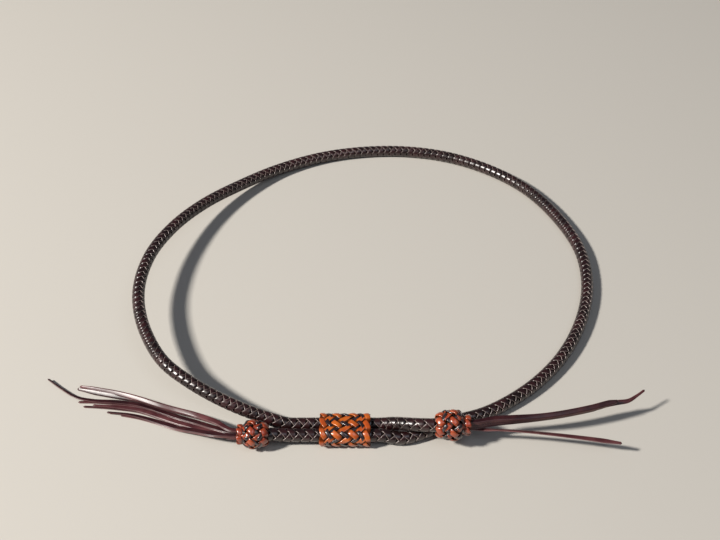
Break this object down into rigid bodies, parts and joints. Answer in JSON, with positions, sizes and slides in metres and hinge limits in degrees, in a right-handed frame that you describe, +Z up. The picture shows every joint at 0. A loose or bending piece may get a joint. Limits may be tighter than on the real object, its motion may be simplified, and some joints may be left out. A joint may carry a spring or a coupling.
{
  "type": "plaited leather hat band",
  "caption": "Adjustable plaited leather hat band: a round plaited cord bent into a loop, its ends overlapped in a sliding woven keeper and finished with woven knots and thong tassels.",
  "frame": {"origin": "middle of the loop on the surface that the band lies on, under the centre of the box round the cord, keeper and knots", "axes": "+X along the overlapped ends, +Y from the overlap to the back of the loop, +Z up"},
  "size_m": [0.2458, 0.1966, 0.0179],
  "materials": {
    "plait": "near-black brown plaited leather strands with a waxed gloss",
    "core": "plain round leather filler, hidden",
    "tan_lace": "saddle tan lace, waxed and glossy",
    "dark_lace": "near-black lace, waxed and glossy",
    "lining": "thin matt leather, hidden",
    "thread": "waxed thread, hidden",
    "thong": "red-brown flat thong, half gloss with raw edges"
  },
  "bodies": {
    "band": {"plaited_cover": "plait", "core": "core", "right_whipping": "thread", "right_barrel": "lining", "right_tan_lace": "tan_lace", "right_dark_lace": "dark_lace", "left_whipping": "thread", "left_barrel": "lining", "left_tan_lace": "tan_lace", "left_dark_lace": "dark_lace"},
    "keeper": {"keeper_liner": "lining", "keeper_tan_lace": "tan_lace", "keeper_dark_lace": "dark_lace"},
    "left_tassel": {"left_thong_1": "thong", "left_thong_2": "thong", "left_thong_3": "thong", "left_thong_4": "thong", "left_thong_5": "thong", "left_thong_6": "thong", "left_thong_7": "thong", "left_thong_8": "thong"},
    "right_tassel": {"right_thong_1": "thong", "right_thong_2": "thong", "right_thong_3": "thong", "right_thong_4": "thong", "right_thong_5": "thong", "right_thong_6": "thong", "right_thong_7": "thong", "right_thong_8": "thong"}
  },
  "joints": [
    {"name": "keeper_slide", "type": "slide", "parent": "band", "child": "keeper", "axis": [1, 0, 0], "range_m": [-0.0095, 0.0025]},
    {"name": "left_tassel_swing", "type": "hinge", "parent": "band", "child": "left_tassel", "pos_m": [-0.052, -0.0924, 0.006], "axis": [0, 0, 1], "range_deg": [-8, 30]},
    {"name": "right_tassel_swing", "type": "hinge", "parent": "band", "child": "right_tassel", "pos_m": [0.0397, -0.091, 0.01], "axis": [0, 0, 1], "range_deg": [-30, 15]}
  ]
}
